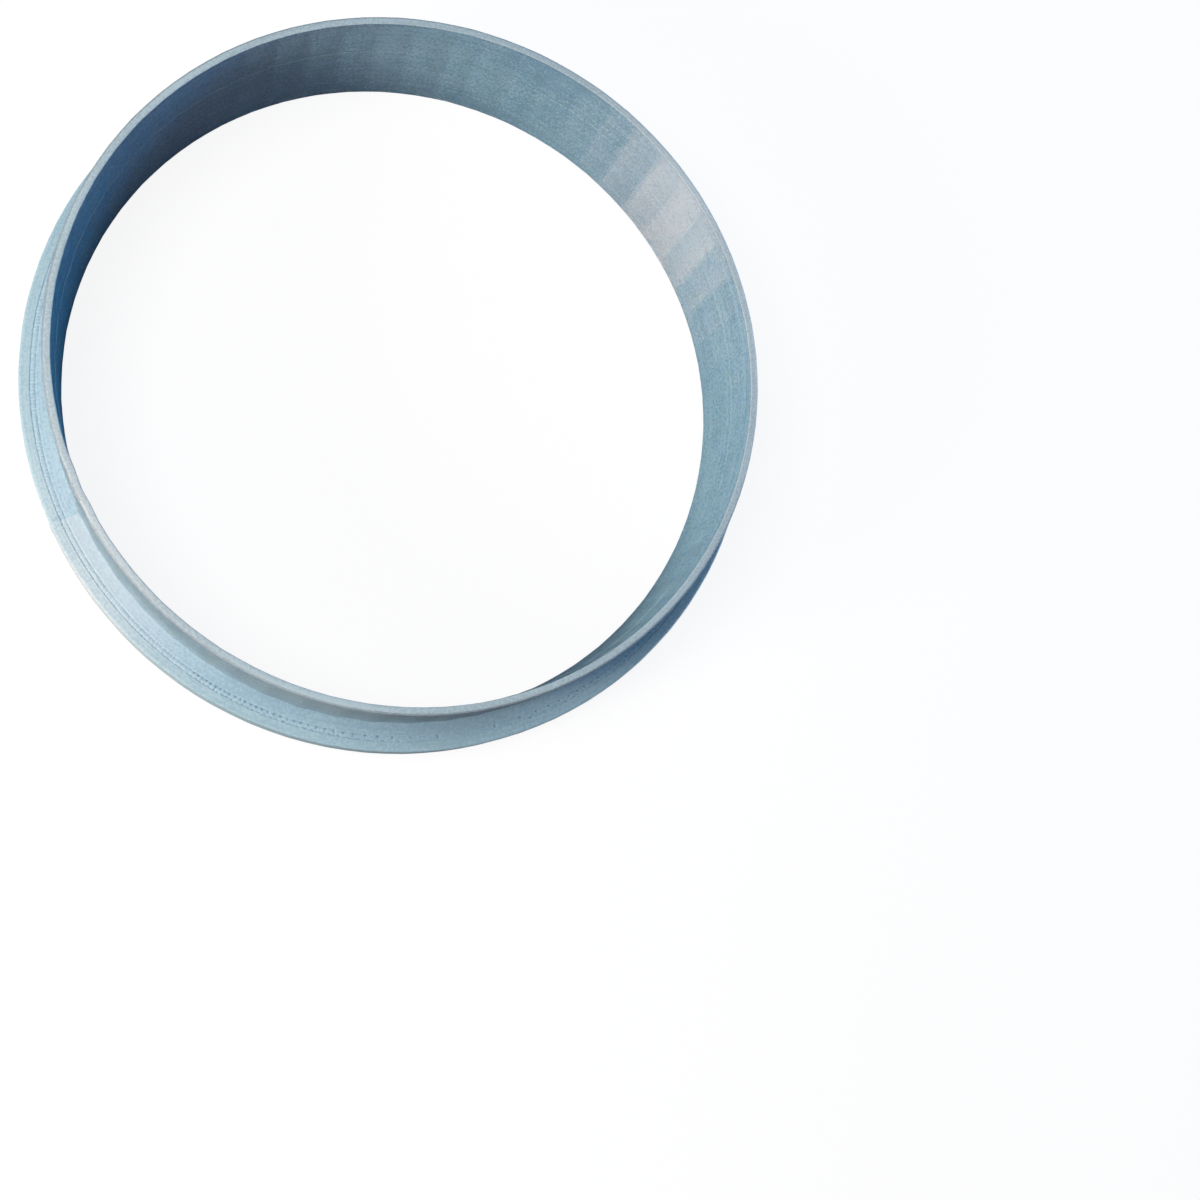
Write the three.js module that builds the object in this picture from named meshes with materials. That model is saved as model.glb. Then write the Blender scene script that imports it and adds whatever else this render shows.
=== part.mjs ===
// Round cutter for rolled dough, as printed in one run from pale blue PLA.
// It lies on its flange, with the cutting edge up. Every circle is printed as the same number of
// flats, and the radii below are measured to the corners between two flats.
// The solids are the zones that the print is laid down in: the wall, the blade on top of it, and
// the flange as two sets of printed loops with a narrow fill between them.

import * as THREE from 'three';

// Driving dimensions, in millimetres, apart from counts and degrees.
const insideDiameter = 90; // the round that it cuts
const flatCount = 60; // flats to each circle
const flatTurn = 5.3; // degrees from +X to the first corner between two flats

const wallThickness = 1.15; // three printed lines
const lowerWallHeight = 12.4; // from the bed to the line part-way up the inside
const bladeHeight = 7.6; // from that line to the crest
const bladeSetBack = 0.05; // how far the blade's inside stands back, which makes the line
const crestRadius = 0.15; // rounding of the crest's two edges

const flangeThickness = 5;
const innerBandWidth = 1.75; // loops of the flange next to the wall
const innerLoops = 4;
const fillBandWidth = 0.7; // fill between the two sets of loops
const outerBandWidth = 1.4; // loops along the rim
const outerLoops = 3;
const rimRadius = 0.3; // rounding of the rim's upper edge
const bedChamfer = 0.2; // bevel of the rim where it meets the bed

const bandLine = { width: 0.2, depth: 0.14 }; // line between two bands of the flange
const loopLine = { width: 0.12, depth: 0.05 }; // finer line between two loops of one band

const cornerSteps = 4; // straight steps in a rounded edge

const plaColour = 0xa8c8d6;
const plaRoughness = 0.48;

// Radii and heights that follow from those dimensions.
const wallInside = insideDiameter / 2;
const bladeInside = wallInside + bladeSetBack;
const wallOutside = wallInside + wallThickness;
const fillInside = wallOutside + innerBandWidth;
const fillOutside = fillInside + fillBandWidth;
const rimOutside = fillOutside + outerBandWidth;
const crestHeight = lowerWallHeight + bladeHeight;

// A section is drawn anticlockwise, with its radius to the right and its height up.
const at = (radius, height) => new THREE.Vector2(radius, height);

function roundedEdge(centreRadius, centreHeight, edgeRadius, fromDegrees, toDegrees) {
  const edge = [];
  for (let step = 0; step <= cornerSteps; step += 1) {
    const degrees = THREE.MathUtils.lerp(fromDegrees, toDegrees, step / cornerSteps);
    const angle = THREE.MathUtils.degToRad(degrees);
    const across = edgeRadius * Math.cos(angle);
    const up = edgeRadius * Math.sin(angle);
    edge.push(at(centreRadius + across, centreHeight + up));
  }
  return edge;
}

// The lines between the loops of one band, from the band's outside to its inside.
function loopLines(outside, inside, loops) {
  const lines = [];
  for (let loop = 1; loop < loops; loop += 1) {
    const middle = THREE.MathUtils.lerp(outside, inside, loop / loops);
    lines.push(at(middle + loopLine.width / 2, flangeThickness));
    lines.push(at(middle, flangeThickness - loopLine.depth));
    lines.push(at(middle - loopLine.width / 2, flangeThickness));
  }
  return lines;
}

// Half of the line between two bands: the slope at a band's outside or inside upper edge.
const outsideSlope = (radius) => [
  at(radius, flangeThickness - bandLine.depth),
  at(radius - bandLine.width / 2, flangeThickness),
];
const insideSlope = (radius) => [
  at(radius + bandLine.width / 2, flangeThickness),
  at(radius, flangeThickness - bandLine.depth),
];

const sections = {
  lower_wall: [
    at(wallInside, 0),
    at(wallOutside, 0),
    at(wallOutside, lowerWallHeight),
    at(wallInside, lowerWallHeight),
  ],
  cutting_blade: [
    at(bladeInside, lowerWallHeight),
    at(wallOutside, lowerWallHeight),
    ...roundedEdge(wallOutside - crestRadius, crestHeight - crestRadius, crestRadius, 0, 90),
    ...roundedEdge(bladeInside + crestRadius, crestHeight - crestRadius, crestRadius, 90, 180),
  ],
  flange_inner_loops: [
    at(wallOutside, 0),
    at(fillInside, 0),
    ...outsideSlope(fillInside),
    ...loopLines(fillInside, wallOutside, innerLoops),
    at(wallOutside, flangeThickness),
  ],
  flange_fill: [
    at(fillInside, 0),
    at(fillOutside, 0),
    ...outsideSlope(fillOutside),
    ...insideSlope(fillInside),
  ],
  flange_outer_loops: [
    at(fillOutside, 0),
    at(rimOutside - bedChamfer, 0),
    at(rimOutside, bedChamfer),
    ...roundedEdge(rimOutside - rimRadius, flangeThickness - rimRadius, rimRadius, 0, 90),
    ...loopLines(rimOutside, fillOutside, outerLoops),
    ...insideSlope(fillOutside),
  ],
};

// Turns a section once round the upright axis, in flats. A lathe starts its turn on -Y here,
// a quarter turn before +X, and closes on itself because the section ends where it starts.
function turnedRing(section) {
  const quarterTurn = Math.PI / 2;
  const start = THREE.MathUtils.degToRad(flatTurn) + quarterTurn;
  const ring = new THREE.LatheGeometry([...section, section[0]], flatCount, start);
  ring.rotateX(quarterTurn);
  return ring;
}

const cutter = new THREE.Group();
cutter.name = 'round_cutter';

for (const [name, section] of Object.entries(sections)) {
  const pla = new THREE.MeshStandardMaterial({
    color: plaColour,
    roughness: plaRoughness,
    metalness: 0,
  });
  const mesh = new THREE.Mesh(turnedRing(section), pla);
  mesh.name = name;
  cutter.add(mesh);
}

export default cutter;
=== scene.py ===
import math
import random

import bpy
from mathutils import Matrix, Vector


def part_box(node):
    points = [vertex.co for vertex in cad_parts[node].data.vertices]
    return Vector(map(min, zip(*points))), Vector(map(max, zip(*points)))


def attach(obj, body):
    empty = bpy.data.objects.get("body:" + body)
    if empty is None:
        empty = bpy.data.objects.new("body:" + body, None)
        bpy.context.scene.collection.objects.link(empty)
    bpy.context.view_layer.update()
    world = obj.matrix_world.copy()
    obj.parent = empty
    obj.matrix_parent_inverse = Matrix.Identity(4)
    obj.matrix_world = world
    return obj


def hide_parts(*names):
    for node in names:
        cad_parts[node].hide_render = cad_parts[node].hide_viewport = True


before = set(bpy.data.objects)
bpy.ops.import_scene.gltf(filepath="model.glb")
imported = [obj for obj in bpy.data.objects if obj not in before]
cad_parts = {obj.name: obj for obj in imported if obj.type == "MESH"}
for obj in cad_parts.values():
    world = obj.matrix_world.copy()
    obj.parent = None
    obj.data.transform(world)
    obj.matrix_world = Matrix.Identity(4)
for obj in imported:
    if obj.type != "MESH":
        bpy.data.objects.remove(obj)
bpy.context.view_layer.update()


# Lower wall
# The thin ring that the rest of the cutter is printed on and round. It is pale blue PLA, three
# extruded lines thick, laid down in 0.2 mm layers along 60 straight flats.

MM = 0.001
FLATS = 60
FLAT_TURN = math.tau / FLATS
FIRST_CORNER = math.radians(5.3)  # from +X to the first corner between two flats
CORNER_STRAY = 0.7 * MM  # how far a corner may stray along the ring, which makes the flats uneven
CORNER_ROUNDING = 0.3 * MM  # how far along each flat the nozzle rounds a corner off
WALL_BOW = 0.07 * MM  # how far the middle of a flat stands in, because a thin wall shrinks as it cools
COLUMN_STEP = 1e-3  # radians: the step in which columns of points are told apart
UPRIGHT_TURN = 1e-4  # radians: an edge that turns less than this round the ring is upright
SAME_RADIUS = 0.01 * MM  # radii closer than this count as the same
MERGE_REACH = 0.001 * MM  # points closer than this are merged
FADE_REACH = 3.2 * MM  # how far from the bed or the crest the flats fade out
FADE_STEPS = 8
FADE_FILL = 0.13 * MM  # how far the middle of a flat stands out again at that edge
LAYER = 0.2 * MM
LAYER_DIP = 0.07 * MM  # depth of the joint between two layers
LAYER_WANDER = 0.004 * MM  # how far a layer strays in or out
LINE_DIP = 0.007 * MM  # depth of the line between two printed loops
SHOULDER = 0.15  # where a bead's rounded shoulder sits, as a share of the bead's width
SHOULDER_DIP = 0.25  # how low that shoulder is, as a share of the dip beside the bead
BEAD_EDGE = math.radians(60)
WALL_LINES = 3
SEAM_CORNER = math.radians(203.3)  # the corner where every layer starts and ends
SEAM_CUTS = 7  # new columns in the half flat on each side of that corner
SEAM_WIDTH = 0.7 * MM
SEAM_HEIGHT = 0.05 * MM
SEAM_STRAY = 0.08 * MM
STRAY_SEED = 7

layer_draw = random.Random(12)


def radii_of(node):
    """The inside and outside radius of a CAD ring, measured to its corners."""
    radii = [vertex.co.xy.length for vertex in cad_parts[node].data.vertices]
    return min(radii), max(radii)


def heights_of(node):
    low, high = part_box(node)
    return low.z, high.z


def select_where(ring, kind, chosen):
    """Selects the vertices ("VERT") or edges ("EDGE") whose points pass a test, in edit mode."""
    bpy.ops.object.mode_set(mode="EDIT")
    bpy.ops.mesh.select_mode(type=kind)
    bpy.ops.mesh.select_all(action="DESELECT")
    bpy.ops.object.mode_set(mode="OBJECT")
    points = ring.data.vertices
    if kind == "VERT":
        for point in points:
            point.select = chosen(point.co)
    else:
        for edge in ring.data.edges:
            edge.select = chosen(*(points[end].co for end in edge.vertices))
    bpy.ops.object.mode_set(mode="EDIT")


def seam_turn(place):
    """The angle between a point and the seam, either way round."""
    return abs(math.remainder(math.atan2(place.y, place.x) - SEAM_CORNER, math.tau))


def begin_ring(name, radius, height, bow):
    """Adds the circle of uneven, slightly bowed flats that a piece starts from, in edit mode."""
    bpy.ops.object.select_all(action="DESELECT")
    bpy.ops.mesh.primitive_circle_add(
        vertices=FLATS, radius=wall_inside, location=(0, 0, 0), rotation=(0, 0, FIRST_CORNER)
    )
    ring = bpy.context.object
    ring.name = name
    ring.data.name = name
    bpy.ops.object.transform_apply(location=True, rotation=True, scale=True)
    bpy.ops.object.mode_set(mode="EDIT")
    bpy.ops.mesh.select_mode(type="VERT")
    bpy.ops.mesh.select_all(action="SELECT")
    bpy.ops.transform.vertex_random(offset=CORNER_STRAY, uniform=0, normal=0, seed=STRAY_SEED)
    bpy.ops.transform.resize(value=(1, 1, 0), center_override=(0, 0, 0))
    bpy.ops.transform.tosphere(value=1, center_override=(0, 0, 0))
    growth = radius / wall_inside
    bpy.ops.transform.resize(value=(growth, growth, 1), center_override=(0, 0, 0))
    bpy.ops.transform.translate(value=(0, 0, height))
    bpy.ops.mesh.subdivide(number_cuts=1)
    ring.update_from_editmode()
    corner_radius = max(point.co.xy.length for point in ring.data.vertices)

    def mid_flat(place):
        return place.xy.length < corner_radius - SAME_RADIUS

    select_where(ring, "VERT", mid_flat)
    bowed = 1 - bow / radius
    bpy.ops.transform.resize(value=(bowed, bowed, 1), center_override=(0, 0, 0))
    return ring


def column_of(place):
    """The number of a point's column round the ring."""
    return round(math.atan2(place.y, place.x) / COLUMN_STEP)


def round_corners(ring):
    """Rounds the circle's corners off and cuts the flats finely at the seam. Returns the columns
    that the rounded corners begin and end in, and those in the middle of a flat."""
    ring.update_from_editmode()
    middles = {column_of(point.co) for point in ring.data.vertices if point.select}
    bpy.ops.mesh.select_all(action="INVERT")
    bpy.ops.mesh.bevel(offset=CORNER_ROUNDING, segments=1, affect="VERTICES")
    ring.update_from_editmode()
    columns = {column_of(point.co) for point in ring.data.vertices if point.select}

    def flat_at_seam(first, last):
        near = min(seam_turn(first), seam_turn(last)) < FLAT_TURN / 3
        return near and (first - last).length > 3 * CORNER_ROUNDING

    select_where(ring, "EDGE", flat_at_seam)
    bpy.ops.mesh.subdivide(number_cuts=SEAM_CUTS)
    bpy.ops.mesh.select_all(action="SELECT")
    return columns, middles


def in_columns(place, columns):
    return any(column_of(place) + step in columns for step in (-1, 0, 1))


def fade_flats(ring, middles, edge):
    """Lets the flats fade out towards an edge at one height, where they would dent the outline."""
    fuller = 1 + FADE_FILL / FADE_STEPS / wall_inside
    for step in range(FADE_STEPS):
        reach = FADE_REACH * (step + 1) / FADE_STEPS

        def near_edge(place):
            away_from_seam = seam_turn(place) > FLAT_TURN
            return abs(place.z - edge) < reach and away_from_seam and in_columns(place, middles)

        select_where(ring, "VERT", near_edge)
        bpy.ops.transform.resize(value=(fuller, fuller, 1), center_override=(0, 0, 0))
    bpy.ops.object.mode_set(mode="OBJECT")


def draw_section(section):
    """Extrudes the selected circle along a section of (radius, height) points."""
    for (radius, height), (next_radius, next_height) in zip(section, section[1:]):
        rise = (0, 0, next_height - height)
        growth = next_radius / radius
        bpy.ops.mesh.extrude_region_move(TRANSFORM_OT_translate={"value": rise})
        bpy.ops.transform.resize(value=(growth, growth, 1), center_override=(0, 0, 0))


def close_ring():
    """Joins the last circle to the first, faces everything outwards and leaves edit mode."""
    bpy.ops.mesh.select_all(action="SELECT")
    bpy.ops.mesh.remove_doubles(threshold=MERGE_REACH)
    bpy.ops.mesh.normals_make_consistent(inside=False)
    bpy.ops.object.mode_set(mode="OBJECT")


def layered_face(face, dip, foot, top):
    """Points up an upright face: each layer's joint with the one below, and its rounded side."""
    points = []
    for layer in range(round((top - foot) / LAYER)):
        seat = foot + layer * LAYER
        side = face + layer_draw.uniform(-LAYER_WANDER, LAYER_WANDER)
        shoulder = side + SHOULDER_DIP * dip
        points += [
            (face + dip, seat),
            (shoulder, seat + SHOULDER * LAYER),
            (side, seat + LAYER / 2),
            (shoulder, seat + LAYER - SHOULDER * LAYER),
        ]
    return points


def loop_row(start, end, loops, level, dip):
    """Points across printed loops side by side, each with a rounded top and a line before it."""
    points = []
    pitch = (end - start) / loops
    for loop in range(loops):
        edge = start + loop * pitch
        points += [
            (edge, level + dip),
            (edge + SHOULDER * pitch, level + SHOULDER_DIP * dip),
            (edge + pitch / 2, level),
            (edge + pitch - SHOULDER * pitch, level + SHOULDER_DIP * dip),
        ]
    return points


def raise_seam(ring, on_face, lift):
    """Pushes out the bead ends that lie along the seam on one face, each by its own amount."""

    def at_seam(place):
        return seam_turn(place) * place.xy.length < SEAM_WIDTH / 2 and on_face(place)

    select_where(ring, "VERT", at_seam)
    bpy.ops.transform.translate(value=lift)
    bpy.ops.transform.vertex_random(offset=SEAM_STRAY, uniform=0, normal=0, seed=STRAY_SEED)
    bpy.ops.object.mode_set(mode="OBJECT")


def shade_beads(ring, corners):
    """Shades the beads and bowed flats round, and keeps the corners between two flats sharp."""
    bpy.ops.object.shade_smooth_by_angle(angle=BEAD_EDGE)

    def at_corner(first, last):
        turn = abs(first.xy.cross(last.xy)) / (first.xy.length * last.xy.length)
        return turn < UPRIGHT_TURN and in_columns(first, corners)

    select_where(ring, "EDGE", at_corner)
    bpy.ops.mesh.mark_sharp()
    bpy.ops.object.mode_set(mode="OBJECT")


wall_inside, wall_outside = radii_of("lower_wall")
wall_middle = (wall_inside + wall_outside) / 2
bed, wall_top = heights_of("lower_wall")
flange_top = heights_of("flange_inner_loops")[1]
seam_outwards = SEAM_HEIGHT * Vector((math.cos(SEAM_CORNER), math.sin(SEAM_CORNER), 0))

wall_section = layered_face(wall_inside, LAYER_DIP, bed, wall_top)
wall_section += [(wall_inside + LAYER_DIP, wall_top), (wall_outside - LAYER_DIP, wall_top)]
wall_section += reversed(layered_face(wall_outside, -LAYER_DIP, flange_top, wall_top))
wall_section += loop_row(wall_outside, wall_inside, WALL_LINES, bed, LINE_DIP)
wall_section += [wall_section[0]]

lower_wall = begin_ring("printed_lower_wall", *wall_section[0], WALL_BOW)
wall_corners, wall_middles = round_corners(lower_wall)
draw_section(wall_section)
close_ring()


def on_wall_outside(place):
    above_flange = flange_top + LAYER / 2 < place.z < wall_top - LAYER / 2
    return above_flange and place.xy.length > wall_middle


fade_flats(lower_wall, wall_middles, bed)
raise_seam(lower_wall, on_wall_outside, seam_outwards)
shade_beads(lower_wall, wall_corners)


def linear(hex_colour):
    """An sRGB hex colour as the linear RGBA that the shaders take."""
    parts = [int(hex_colour[place : place + 2], 16) / 255 for place in (1, 3, 5)]
    curve = [p / 12.92 if p <= 0.04045 else ((p + 0.055) / 1.055) ** 2.4 for p in parts]
    return (*curve, 1)


def add_node(tree, kind, links=None, values=None, **settings):
    """Adds a node, sets its own settings and its sockets' values, and links its inputs."""
    node = tree.nodes.new(kind)
    for name, setting in settings.items():
        setattr(node, name, setting)
    for socket, value in (values or {}).items():
        node.inputs[socket].default_value = value
    for socket, source in (links or {}).items():
        tree.links.new(source, node.inputs[socket])
    return node


WALL_BLUE = "#6d9ab4"
WALL_PALE = "#90b8ce"
# Painted reflection: the outside's tones are paler and greyer, for the sheen it shows seen edge-on.
OUTSIDE_REFLECTION_BLUE = "#7d9fb4"
OUTSIDE_REFLECTION_PALE = "#a0bdce"
SHEEN_WARM = "#ffd8c2"
PLA_IOR = 1.6
WALL_ROUGHNESS = (0.33, 0.39)
CLOUDING = 0.5  # the share of light that goes into the thin wall
LIGHT_REACH = (0.25, 0.5, 1.0)  # mm that red, green and blue light reach into it
STREAK_LENGTH = 14  # mm of one bead that keep about the same tone
STREAK_HEIGHT = 0.8  # mm: four layers, because single ones of 0.2 mm are too fine to show
STREAK_WIDTH = 0.44  # mm: one printed line
SPECKLE_SIZE = 0.35  # mm: the melt's own grain is finer, and is drawn this coarse so that it shows
SPECKLE_SHARE = 2  # the grain's part in the tone, beside one part each of streaks and mottle
GRAIN_RELIEF = 0.5
GRAIN_DEPTH = 0.05 * MM
STREAK_RANGE = (0.3, 0.7)  # the streak noise between its usual lowest and highest values
TONE_SPREAD = 0.28
MOTTLE_SIZE = 22  # mm


def printed_pla(name, blue, pale, roughness=WALL_ROUGHNESS):
    """PLA drawn out through a hot nozzle: satin, with a fine grain.

    Each bead cools by itself, so beads differ in tone and gloss along their length.
    """
    material = bpy.data.materials.new(name)
    material.use_nodes = True
    tree = material.node_tree
    shader = tree.nodes["Principled BSDF"]
    shader.inputs["IOR"].default_value = PLA_IOR
    shader.inputs["Specular IOR Level"].default_value = 1
    shader.inputs["Specular Tint"].default_value = linear(SHEEN_WARM)

    # Where a point lies on its bead: along the ring from the seam, across the ring, and up.
    place = add_node(tree, "ShaderNodeTexCoord").outputs["Object"]
    turn = {"Rotation": (0, 0, math.pi - SEAM_CORNER), "Scale": (1 / MM, 1 / MM, 1 / MM)}
    place = add_node(tree, "ShaderNodeMapping", {"Vector": place}, turn).outputs["Vector"]
    x, y, z = add_node(tree, "ShaderNodeSeparateXYZ", {"Vector": place}).outputs
    from_seam = {"operation": "ARCTAN2", "name": "from_seam"}
    angle = add_node(tree, "ShaderNodeMath", {0: y, 1: x}, **from_seam).outputs[0]
    level = add_node(tree, "ShaderNodeCombineXYZ", {"X": x, "Y": y}).outputs[0]
    radius = add_node(tree, "ShaderNodeVectorMath", {0: level}, operation="LENGTH").outputs["Value"]
    bead = add_node(tree, "ShaderNodeCombineXYZ", {"X": angle, "Y": radius, "Z": z}).outputs[0]
    streak_scale = (wall_inside / MM / STREAK_LENGTH, 1 / STREAK_WIDTH, 1 / STREAK_HEIGHT)
    bead = add_node(tree, "ShaderNodeMapping", {"Vector": bead}, {"Scale": streak_scale}).outputs[0]

    grain = {"Scale": 1, "Detail": 2}
    streak = add_node(tree, "ShaderNodeTexNoise", {"Vector": bead}, grain).outputs["Fac"]
    grain = {"Scale": 1 / SPECKLE_SIZE, "Detail": 1}
    speckle = add_node(tree, "ShaderNodeTexNoise", {"Vector": place}, grain).outputs["Fac"]
    grain = {"Scale": 1 / MOTTLE_SIZE, "Detail": 1}
    mottle = add_node(tree, "ShaderNodeTexNoise", {"Vector": place}, grain).outputs["Fac"]

    tone = add_node(tree, "ShaderNodeMath", {0: streak, 1: mottle}, operation="ADD").outputs[0]
    links, share = {0: speckle, 2: tone}, {1: SPECKLE_SHARE}
    tone = add_node(tree, "ShaderNodeMath", links, share, operation="MULTIPLY_ADD").outputs[0]
    middle = 1 + SPECKLE_SHARE / 2
    spread = {"From Min": middle - TONE_SPREAD, "From Max": middle + TONE_SPREAD}
    tone = add_node(tree, "ShaderNodeMapRange", {"Value": tone}, spread).outputs["Result"]
    tones = {6: linear(blue), 7: linear(pale)}
    tone = add_node(tree, "ShaderNodeMix", {0: tone}, tones, data_type="RGBA").outputs[2]
    tree.links.new(tone, shader.inputs["Base Color"])

    gloss = {"From Min": STREAK_RANGE[0], "From Max": STREAK_RANGE[1]}
    gloss |= {"To Min": roughness[0], "To Max": roughness[1]}
    gloss = add_node(tree, "ShaderNodeMapRange", {"Value": streak}, gloss).outputs["Result"]
    tree.links.new(gloss, shader.inputs["Roughness"])
    relief = {"Strength": GRAIN_RELIEF, "Distance": GRAIN_DEPTH}
    bump = add_node(tree, "ShaderNodeBump", {"Height": speckle}, relief).outputs["Normal"]
    tree.links.new(bump, shader.inputs["Normal"])
    return material


def paint_zone(ring, material, in_zone):
    """Gives a material to the faces whose points all pass a test."""
    ring.data.materials.append(material)
    select_where(ring, "VERT", in_zone)
    bpy.ops.mesh.select_mode(type="FACE")
    ring.active_material_index = len(ring.data.materials) - 1
    bpy.ops.object.material_slot_assign()
    bpy.ops.object.mode_set(mode="OBJECT")


def on_outside(place):
    return place.xy.length > wall_middle


# Painted reflection: the outside is painted a little paler and greyer than the inside.
wall_pla = printed_pla("printed_pla_wall", WALL_BLUE, WALL_PALE)
outside_reflection_pla = printed_pla("printed_pla_outside_reflection", OUTSIDE_REFLECTION_BLUE, OUTSIDE_REFLECTION_PALE)
# The thin wall lets some bluish light through, which shows where it is lit on its far side.
for thin_pla in (wall_pla, outside_reflection_pla):
    shader = thin_pla.node_tree.nodes["Principled BSDF"]
    shader.inputs["Subsurface Weight"].default_value = CLOUDING
    shader.inputs["Subsurface Radius"].default_value = LIGHT_REACH
    shader.inputs["Subsurface Scale"].default_value = MM
lower_wall.data.materials.append(wall_pla)
paint_zone(lower_wall, outside_reflection_pla, on_outside)
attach(lower_wall, "root")
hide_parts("lower_wall")


# Cutting blade
# The upper wall, printed on the lower one in the same lines and layers, a hair further back on the
# inside. Its crest is flat with softly rounded edges, as the last layer came off the nozzle.

CREST_ROUNDING = 0.15 * MM
CREST_SHOULDER = 0.42 * MM  # rounding of its outer edge, where the last layers draw in
SHOULDER_LAYERS = 3  # layers that this outer rounding takes up
ROUNDING_STEPS = 5
CREST_ZONE = 0.8 * CREST_ROUNDING  # how far down the crest's finish and painted reflection go
SHOULDER_ZONE = 1.1 * CREST_SHOULDER  # the same for the painted shade of its outer edge
# Painted reflection: the crest's tones are paler and greyer, for the room seen in its flat top.
CREST_REFLECTION_BLUE = "#a1b5bc"
CREST_REFLECTION_PALE = "#b3c7ce"
CREST_GLOSS = 0.75
# Painted shade: the outer edge's tones are darker, holding back the lamplight that it catches.
SHADED_EDGE_BLUE = "#8295a0"
SHADED_EDGE_PALE = "#93a6b0"
EDGE_GLOSS = 0.5
LEVEL_ROUGHNESS = (0.56, 0.62)
SMEAR = 0.9  # how far the gloss is drawn out
SMEAR_TURN = 0.25  # of a turn: it is drawn out across the beads


def rounded_edge(radius, height, rounding, first, last):
    """Points along a rounded edge about (radius, height), between two angles in degrees."""
    points = []
    for step in range(ROUNDING_STEPS + 1):
        turn = math.radians(first + (last - first) * step / ROUNDING_STEPS)
        points.append((radius + rounding * math.cos(turn), height + rounding * math.sin(turn)))
    return points


blade_inside, blade_outside = radii_of("cutting_blade")
blade_foot, crest = heights_of("cutting_blade")
layers_end = crest - SHOULDER_LAYERS * LAYER
inner_round = blade_inside + CREST_ROUNDING
outer_round = blade_outside - CREST_SHOULDER

blade_section = [(wall_inside + LAYER_DIP, blade_foot)]
blade_section += layered_face(blade_inside, LAYER_DIP, blade_foot, crest - LAYER)[1:]
blade_section += rounded_edge(inner_round, crest - CREST_ROUNDING, CREST_ROUNDING, 180, 90)
blade_section += rounded_edge(outer_round, crest - CREST_SHOULDER, CREST_SHOULDER, 90, 0)
blade_section += reversed(layered_face(blade_outside, -LAYER_DIP, blade_foot, layers_end))
blade_section += [blade_section[0]]

cutting_blade = begin_ring("printed_blade", *blade_section[0], WALL_BOW)
blade_corners, blade_middles = round_corners(cutting_blade)
draw_section(blade_section)
close_ring()


def on_blade_outside(place):
    below_crest = blade_foot + LAYER / 2 < place.z < layers_end
    return below_crest and place.xy.length > wall_middle


fade_flats(cutting_blade, blade_middles, crest)
raise_seam(cutting_blade, on_blade_outside, seam_outwards)
shade_beads(cutting_blade, blade_corners)


def level_pla(name, blue, pale):
    """The same PLA on a level top, which the nozzle's tip has smeared along the beads.

    The fine scores that it leaves draw the gloss out across the beads, into a broad soft sheen.
    """
    material = printed_pla(name, blue, pale, LEVEL_ROUGHNESS)
    tree = material.node_tree
    shader = tree.nodes["Principled BSDF"]
    shader.inputs["Anisotropic"].default_value = SMEAR
    shader.inputs["Anisotropic Rotation"].default_value = SMEAR_TURN
    along = add_node(tree, "ShaderNodeTangent", direction_type="RADIAL", axis="Z").outputs[0]
    tree.links.new(along, shader.inputs["Tangent"])
    return material


def on_crest(place):
    return place.z > crest - CREST_ZONE


def on_shoulder(place):
    return place.z > crest - SHOULDER_ZONE and place.xy.length > outer_round - SAME_RADIUS


# The crest's paler, greyer tones are painted reflection of the room on its flat top.
crest_reflection_pla = level_pla("printed_pla_crest_reflection", CREST_REFLECTION_BLUE, CREST_REFLECTION_PALE)
shader = crest_reflection_pla.node_tree.nodes["Principled BSDF"]
shader.inputs["Specular IOR Level"].default_value = CREST_GLOSS
# Painted shade: the crest's outer edge is painted darker and greyer, and is less glossy.
shaded_edge_pla = printed_pla("printed_pla_edge_painted_shade", SHADED_EDGE_BLUE, SHADED_EDGE_PALE, LEVEL_ROUGHNESS)
shader = shaded_edge_pla.node_tree.nodes["Principled BSDF"]
shader.inputs["Specular IOR Level"].default_value = EDGE_GLOSS
cutting_blade.data.materials.append(wall_pla)
paint_zone(cutting_blade, outside_reflection_pla, on_outside)
paint_zone(cutting_blade, crest_reflection_pla, on_crest)
paint_zone(cutting_blade, shaded_edge_pla, on_shoulder)
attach(cutting_blade, "root")
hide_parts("cutting_blade")


# Inner loops of the flange
# Four printed loops that widen the foot of the wall into the flange that the palm presses. They
# are the same PLA, fused to the wall on one side and to the fill on the other.

INNER_LOOPS = 4
FLANGE_BOW = -0.05 * MM  # the thick flange cools slowly, and its flats stand out a little
WALL_FUSION = 0.2 * MM  # how far the first loop is melted into the bowed wall
BAND_DIP = 0.035 * MM  # depth of the line between two bands of the flange
FLANGE_BLUE = "#95b6c7"
FLANGE_PALE = "#a9c6d3"
FLANGE_GLOSS = 0.65
START_PALE_AND_SHEEN = "#c0cfd6"  # the real paler start of a loop after the seam, and painted sheen over it
START_AND_SHEEN_SHARE = 0.5
START_AND_SHEEN_FADE = math.radians(34)

inner_inside, inner_outside = radii_of("flange_inner_loops")
fused = inner_inside - WALL_FUSION

inner_section = loop_row(fused, inner_outside, INNER_LOOPS, bed, LINE_DIP)
inner_section += [(inner_outside, bed + LINE_DIP), (inner_outside, flange_top - BAND_DIP)]
inner_section += loop_row(inner_outside, fused, INNER_LOOPS, flange_top, -LINE_DIP)[1:]
inner_section += [(fused, flange_top - LINE_DIP), inner_section[0]]

inner_loops = begin_ring("flange_inner_beads", *inner_section[0], FLANGE_BOW)
inner_corners = round_corners(inner_loops)[0]
draw_section(inner_section)
close_ring()


def on_flange_top(place):
    return place.z > flange_top - 2 * LINE_DIP


raise_seam(inner_loops, on_flange_top, (0, 0, SEAM_HEIGHT))
shade_beads(inner_loops, inner_corners)

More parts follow.
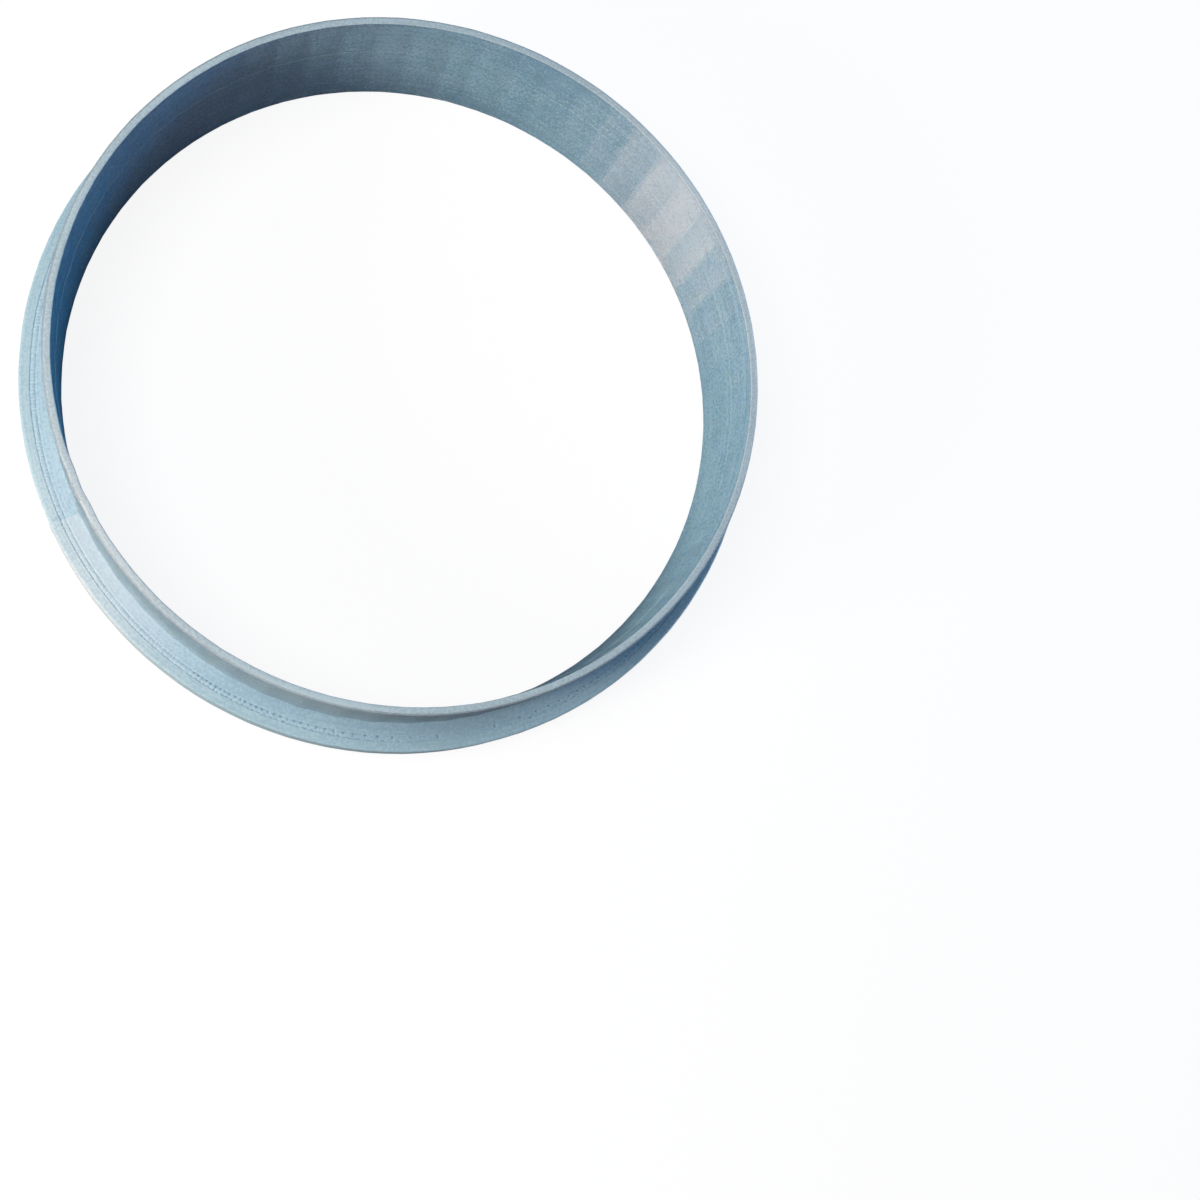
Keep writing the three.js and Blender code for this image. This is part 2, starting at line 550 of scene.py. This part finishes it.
flange_pla = level_pla("printed_pla_flange", FLANGE_BLUE, FLANGE_PALE)
tree = flange_pla.node_tree
shader = tree.nodes["Principled BSDF"]
shader.inputs["Specular IOR Level"].default_value = FLANGE_GLOSS
# Pales the flange after the seam: the real paler start of each loop, and painted sheen.
tone = shader.inputs["Base Color"].links[0].from_socket
angle = tree.nodes["from_seam"].outputs[0]
fade = {"From Min": -math.pi, "From Max": START_AND_SHEEN_FADE - math.pi, "To Min": START_AND_SHEEN_SHARE, "To Max": 0}
fade = add_node(tree, "ShaderNodeMapRange", {"Value": angle}, fade).outputs["Result"]
links = {0: fade, 6: tone}
tone = add_node(tree, "ShaderNodeMix", links, {7: linear(START_PALE_AND_SHEEN)}, data_type="RGBA").outputs[2]
tree.links.new(tone, shader.inputs["Base Color"])
inner_loops.data.materials.append(flange_pla)
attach(inner_loops, "root")
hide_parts("flange_inner_loops")


# Fill of the flange
# The short zigzag run that the printer lays between the two sets of loops. Where its turns miss a
# loop, small pinholes stay open along the line.

FILL_CUTS = 16  # new columns in each half flat, which the zigzag and its pinholes need
FILL_SLOPE = 0.07 * MM  # half the width of the line between the fill and the loops beside it
FILL_EDGE_DIP = 0.01 * MM
FILL_EDGE_FOOT = 1.1 * BAND_DIP  # just below the bottom of that line
FILL_CROWN = 0.02 * MM
ZIGZAG_TURN = math.radians(9)  # the direction that the zigzag's runs lie in
ZIGZAG_PITCH = 0.44 * MM
ZIGZAG_DIP = 0.015 * MM
ZIGZAG_LINE = ZIGZAG_PITCH / 6  # half the width of the line between two runs
PIN_DEPTH = 0.2 * MM
PIN_LENGTH = 0.27 * MM
STITCH_DEPTH = 0.07 * MM  # where a run turns close to a loop and leaves only a dent
PIN_SLANT = math.cos(math.radians(45))  # the runs meet the loops too flatly beyond this slant

fill_inside, fill_outside = radii_of("flange_fill")
fill_middle = (fill_inside + fill_outside) / 2

fill_section = [
    (fill_inside, bed),
    (fill_outside, bed),
    (fill_outside, flange_top - BAND_DIP),
    (fill_outside - FILL_SLOPE, flange_top - FILL_EDGE_DIP),
    (fill_outside - 2 * FILL_SLOPE, flange_top),
    (fill_middle, flange_top + FILL_CROWN),
    (fill_inside + 2 * FILL_SLOPE, flange_top),
    (fill_inside + FILL_SLOPE, flange_top - FILL_EDGE_DIP),
    (fill_inside, flange_top - BAND_DIP),
    (fill_inside, bed),
]

fill = begin_ring("flange_fill_beads", *fill_section[0], FLANGE_BOW)
bpy.ops.mesh.select_all(action="SELECT")
bpy.ops.mesh.subdivide(number_cuts=FILL_CUTS)
bpy.ops.mesh.select_all(action="SELECT")
draw_section(fill_section)
close_ring()


def from_line(angle, radius):
    """The distance across from the nearest line between two runs of the zigzag."""
    runs = radius * math.sin(angle - ZIGZAG_TURN) / ZIGZAG_PITCH - 1 / 2
    return abs(runs - round(runs)) * ZIGZAG_PITCH


def between_runs(place):
    angle = math.atan2(place.y, place.x)
    on_top = place.z > flange_top - FILL_EDGE_DIP / 2
    return on_top and from_line(angle, place.xy.length) < ZIGZAG_LINE


def run_slant(place):
    return abs(math.cos(math.atan2(place.y, place.x) - ZIGZAG_TURN))


def at_turn(place):
    border = fill_inside if place.xy.length < fill_middle else fill_outside
    across = from_line(math.atan2(place.y, place.x), border)
    on_edge = flange_top - FILL_EDGE_FOOT < place.z < flange_top - FILL_EDGE_DIP / 2
    return on_edge and across < run_slant(place) * PIN_LENGTH / 2


def in_stitch(place):
    return at_turn(place) and run_slant(place) >= PIN_SLANT


def in_pinhole(place):
    return at_turn(place) and run_slant(place) < PIN_SLANT


select_where(fill, "VERT", between_runs)
bpy.ops.transform.translate(value=(0, 0, -ZIGZAG_DIP))
select_where(fill, "VERT", in_stitch)
bpy.ops.transform.translate(value=(0, 0, -STITCH_DEPTH))
select_where(fill, "VERT", in_pinhole)
bpy.ops.transform.translate(value=(0, 0, -PIN_DEPTH))
bpy.ops.object.mode_set(mode="OBJECT")
bpy.ops.object.shade_smooth_by_angle(angle=BEAD_EDGE)

fill.data.materials.append(inner_loops.data.materials[0])
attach(fill, "root")
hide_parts("flange_fill")


# Outer loops of the flange
# Three printed loops that make the rim, which is rounded above by its last layers and bevelled
# below where the first layer meets the bed. The same PLA, fused to the fill.

OUTER_LOOPS = 3
RIM_ROUNDING = 0.3 * MM
RIM_ROUNDED_LAYERS = 2  # layers that this rounding takes up
BED_BEVEL = 0.2 * MM
RIM_BLUE = "#95b7c5"
RIM_PALE = "#a8c6d1"

rim_inside, rim_outside = radii_of("flange_outer_loops")
rim_round = rim_outside - RIM_ROUNDING
rim_layers_end = flange_top - RIM_ROUNDED_LAYERS * LAYER

rim_section = loop_row(rim_inside, rim_outside - BED_BEVEL, OUTER_LOOPS, bed, LINE_DIP)
rim_section += [(rim_outside - BED_BEVEL, bed)]
rim_section += layered_face(rim_outside, -LAYER_DIP, bed + BED_BEVEL, rim_layers_end)
rim_section += rounded_edge(rim_round, flange_top - RIM_ROUNDING, RIM_ROUNDING, 0, 90)
rim_section += loop_row(rim_round, rim_inside, OUTER_LOOPS, flange_top, -LINE_DIP)[2:]
rim_section += [(rim_inside, flange_top - BAND_DIP), rim_section[0]]

outer_loops = begin_ring("flange_rim_beads", *rim_section[0], FLANGE_BOW)
rim_corners = round_corners(outer_loops)[0]
draw_section(rim_section)
close_ring()


def on_rim(place):
    return bed + BED_BEVEL + LAYER / 2 < place.z < rim_layers_end and place.xy.length > rim_round


raise_seam(outer_loops, on_rim, seam_outwards)
raise_seam(outer_loops, on_flange_top, (0, 0, SEAM_HEIGHT))
shade_beads(outer_loops, rim_corners)

outer_loops.data.materials.append(level_pla("printed_pla_rim", RIM_BLUE, RIM_PALE))
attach(outer_loops, "root")
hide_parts("flange_outer_loops")


# Table
# A plain pale worktop that the cutter stands on. It shows near white and keeps the soft shadow,
# and it isn't part of the cutter.

TABLE_SIZE = 4.0
TABLE_GAP = 0.05 * MM  # below the bed, so that the two surfaces don't coincide
TABLE_ROUGHNESS = 0.9
TABLE_GLOSS = 0.1
TABLE_GREY = "#484d52"  # what it throws back on the cutter
TABLE_WHITE = "#606060"  # what is seen of it in lamplight
TABLE_GLOW = 0.9  # how white it shows to the camera by itself, where 1 is white

bpy.ops.object.select_all(action="DESELECT")
bpy.ops.mesh.primitive_plane_add(size=TABLE_SIZE, location=(0, 0, bed - TABLE_GAP))
table = bpy.context.object
table.name = "table"
worktop = bpy.data.materials.new("pale_worktop")
worktop.use_nodes = True
tree = worktop.node_tree


def seen_rays(tree):
    """1 for the rays that show the background: to the camera, in gloss and through glass."""
    path = add_node(tree, "ShaderNodeLightPath").outputs
    links = {0: path["Is Camera Ray"], 1: path["Is Glossy Ray"]}
    seen = add_node(tree, "ShaderNodeMath", links, operation="MAXIMUM").outputs[0]
    links = {0: seen, 1: path["Is Transmission Ray"]}
    return add_node(tree, "ShaderNodeMath", links, operation="MAXIMUM").outputs[0]


shader = tree.nodes["Principled BSDF"]
shader.inputs["Roughness"].default_value = TABLE_ROUGHNESS
shader.inputs["Specular IOR Level"].default_value = TABLE_GLOSS
shader.inputs["Emission Color"].default_value = (1, 1, 1, 1)
tones = {6: linear(TABLE_GREY), 7: linear(TABLE_WHITE)}
tone = add_node(tree, "ShaderNodeMix", {0: seen_rays(tree)}, tones, data_type="RGBA")
tree.links.new(tone.outputs[2], shader.inputs["Base Color"])
camera_ray = add_node(tree, "ShaderNodeLightPath").outputs["Is Camera Ray"]
glow = add_node(tree, "ShaderNodeMath", {0: camera_ray}, {1: TABLE_GLOW}, operation="MULTIPLY")
tree.links.new(glow.outputs[0], shader.inputs["Emission Strength"])
below = add_node(tree, "ShaderNodeNewGeometry").outputs["Backfacing"]
clear = add_node(tree, "ShaderNodeBsdfTransparent").outputs[0]
links = {0: below, 1: shader.outputs["BSDF"], 2: clear}
surface = add_node(tree, "ShaderNodeMixShader", links).outputs[0]
tree.links.new(surface, tree.nodes["Material Output"].inputs["Surface"])
table.data.materials.append(worktop)


# Light
# A soft warm lamp low on the left, a weaker one high above it, a faint cool one from the right, a
# strip no higher than the crest, which lights only the wall's outside on that side, and a white
# room that adds a little cool light to the shadows.

ROOM_BLUE = "#6aa8ff"
ROOM_LEVEL = 0.11

world = bpy.data.worlds.new("room")
world.use_nodes = True
bpy.context.scene.world = world
tree = world.node_tree
room = tree.nodes["Background"]
room.inputs["Color"].default_value = linear(ROOM_BLUE)
room.inputs["Strength"].default_value = ROOM_LEVEL
white = add_node(tree, "ShaderNodeBackground", None, {"Color": (1, 1, 1, 1), "Strength": 1})
links = {0: seen_rays(tree), 1: room.outputs[0], 2: white.outputs[0]}
surface = add_node(tree, "ShaderNodeMixShader", links).outputs[0]
tree.links.new(surface, tree.nodes["World Output"].inputs["Surface"])


def add_lamp(name, azimuth, elevation, distance, size, level, colour):
    """Adds a lamp aimed at the cutter: its width and height, and what it gives there in W/m2."""
    turn, rise = math.radians(azimuth), math.radians(elevation)
    way = Vector((math.cos(turn) * math.cos(rise), math.sin(turn) * math.cos(rise), math.sin(rise)))
    bpy.ops.object.light_add(type="AREA", location=distance * way)
    lamp = bpy.context.object
    lamp.name = name
    lamp.rotation_euler = way.to_track_quat("Z", "Y").to_euler()
    lamp.visible_camera = False
    lamp.data.shape = "ELLIPSE"
    lamp.data.size, lamp.data.size_y = size
    lamp.data.energy = level * math.pi * distance**2
    lamp.data.color = linear(colour)[:3]


# Degrees round and up, metres away, metres wide and high, level and colour.
add_lamp("low_lamp", 204, 22, 0.45, (0.14, 0.14), 2.45, "#fff0e2")
add_lamp("high_lamp", 184, 66, 0.40, (0.2, 0.2), 2.0, "#fffdfa")
add_lamp("cool_lamp", 24, 13, 0.50, (0.12, 0.12), 1.0, "#20bfff")
add_lamp("strip_lamp", 15, 1.4, 0.45, (0.25, 0.016), 2.4, "#fffaf4")

bpy.context.scene.view_settings.view_transform = "Standard"


# Camera
# Above the cutter's lower left, looking down past its middle, with the ring towards the picture's
# upper left.

CAMERA_SPOT = Vector((-31.104, -58.252, 215.152)) * MM
CAMERA_AIM = Vector((28.130, -28.765, 0)) * MM
CAMERA_LENS = 47.357  # mm, on the sensor below
CAMERA_SENSOR = 36
CAMERA_NEAR = 0.01

bpy.ops.object.camera_add()
camera = bpy.context.object
camera.data.sensor_width = CAMERA_SENSOR
camera.data.lens = CAMERA_LENS
camera.data.clip_start = CAMERA_NEAR
back = (CAMERA_SPOT - CAMERA_AIM).normalized()
up = back.cross(Vector((1, 0, 0))).normalized()
right = up.cross(back)
camera.matrix_world = Matrix.Translation(CAMERA_SPOT) @ Matrix((right, up, back)).transposed().to_4x4()
bpy.context.scene.camera = camera
